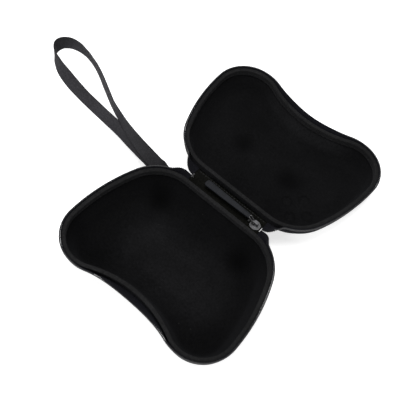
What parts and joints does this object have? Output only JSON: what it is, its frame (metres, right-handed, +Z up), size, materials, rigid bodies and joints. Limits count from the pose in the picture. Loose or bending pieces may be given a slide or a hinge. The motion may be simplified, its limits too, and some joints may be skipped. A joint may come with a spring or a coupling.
{
  "type": "controller carrying case",
  "caption": "Zipped moulded case for a game controller, lying open on its fabric hinge, with a webbing wrist strap.",
  "frame": {"origin": "middle of the base's flat foot, on the table", "axes": "+X along the hinge towards the slider, +Y from the base to the lid, +Z up"},
  "size_m": [0.3241, 0.2592, 0.0359],
  "materials": {
    "shell_cloth": "matt black knit bonded to moulded foam",
    "lining_cloth": "matt black brushed knit",
    "binding_cloth": "black woven tape with a slight sheen",
    "zip_tape": "black woven zip tape",
    "zip_coil": "black nylon coil, satin",
    "hinge_cloth": "dark ribbed cloth",
    "dark_metal": "grey-black lacquered zinc alloy, satin",
    "pull_ribbon": "bluish black ribbon, moulded ends",
    "webbing": "charcoal woven webbing",
    "thread": "dark sewing thread"
  },
  "bodies": {
    "base": {"base_shell": "shell_cloth", "base_lining": "lining_cloth", "base_binding": "binding_cloth", "base_zip_tape": "zip_tape", "base_zip_coil": "zip_coil", "base_top_stop": "dark_metal", "wrist_strap": "webbing", "strap_bar_tack": "thread"},
    "hinge": {"hinge_strip": "shell_cloth", "hinge_facing": "hinge_cloth", "bottom_stop": "dark_metal", "slider_body": "dark_metal", "slider_bail": "dark_metal"},
    "pull": {"pull_link": "dark_metal", "pull_tab": "pull_ribbon"},
    "lid": {"lid_shell": "shell_cloth", "lid_lining": "lining_cloth", "lid_binding": "binding_cloth", "lid_zip_tape": "zip_tape", "lid_zip_coil": "zip_coil", "lid_top_stop": "dark_metal"}
  },
  "joints": [
    {"name": "strip_fold", "type": "hinge", "parent": "base", "child": "hinge", "pos_m": [0, 0.05915, 0.0275], "axis": [1, 0, 0], "range_deg": [0, 90]},
    {"name": "lid_fold", "type": "hinge", "parent": "hinge", "child": "lid", "pos_m": [0, 0.07675, 0.0275], "axis": [1, 0, 0], "range_deg": [0, 93.5]},
    {"name": "pull_swing", "type": "hinge", "parent": "hinge", "child": "pull", "pos_m": [0.0301, 0.06795, 0.0294], "axis": [0, 1, 0], "range_deg": [0, 120]}
  ],
  "couplings": [
    {"joint": "strip_fold", "follows": "lid_fold", "ratio": 0.96252}
  ]
}
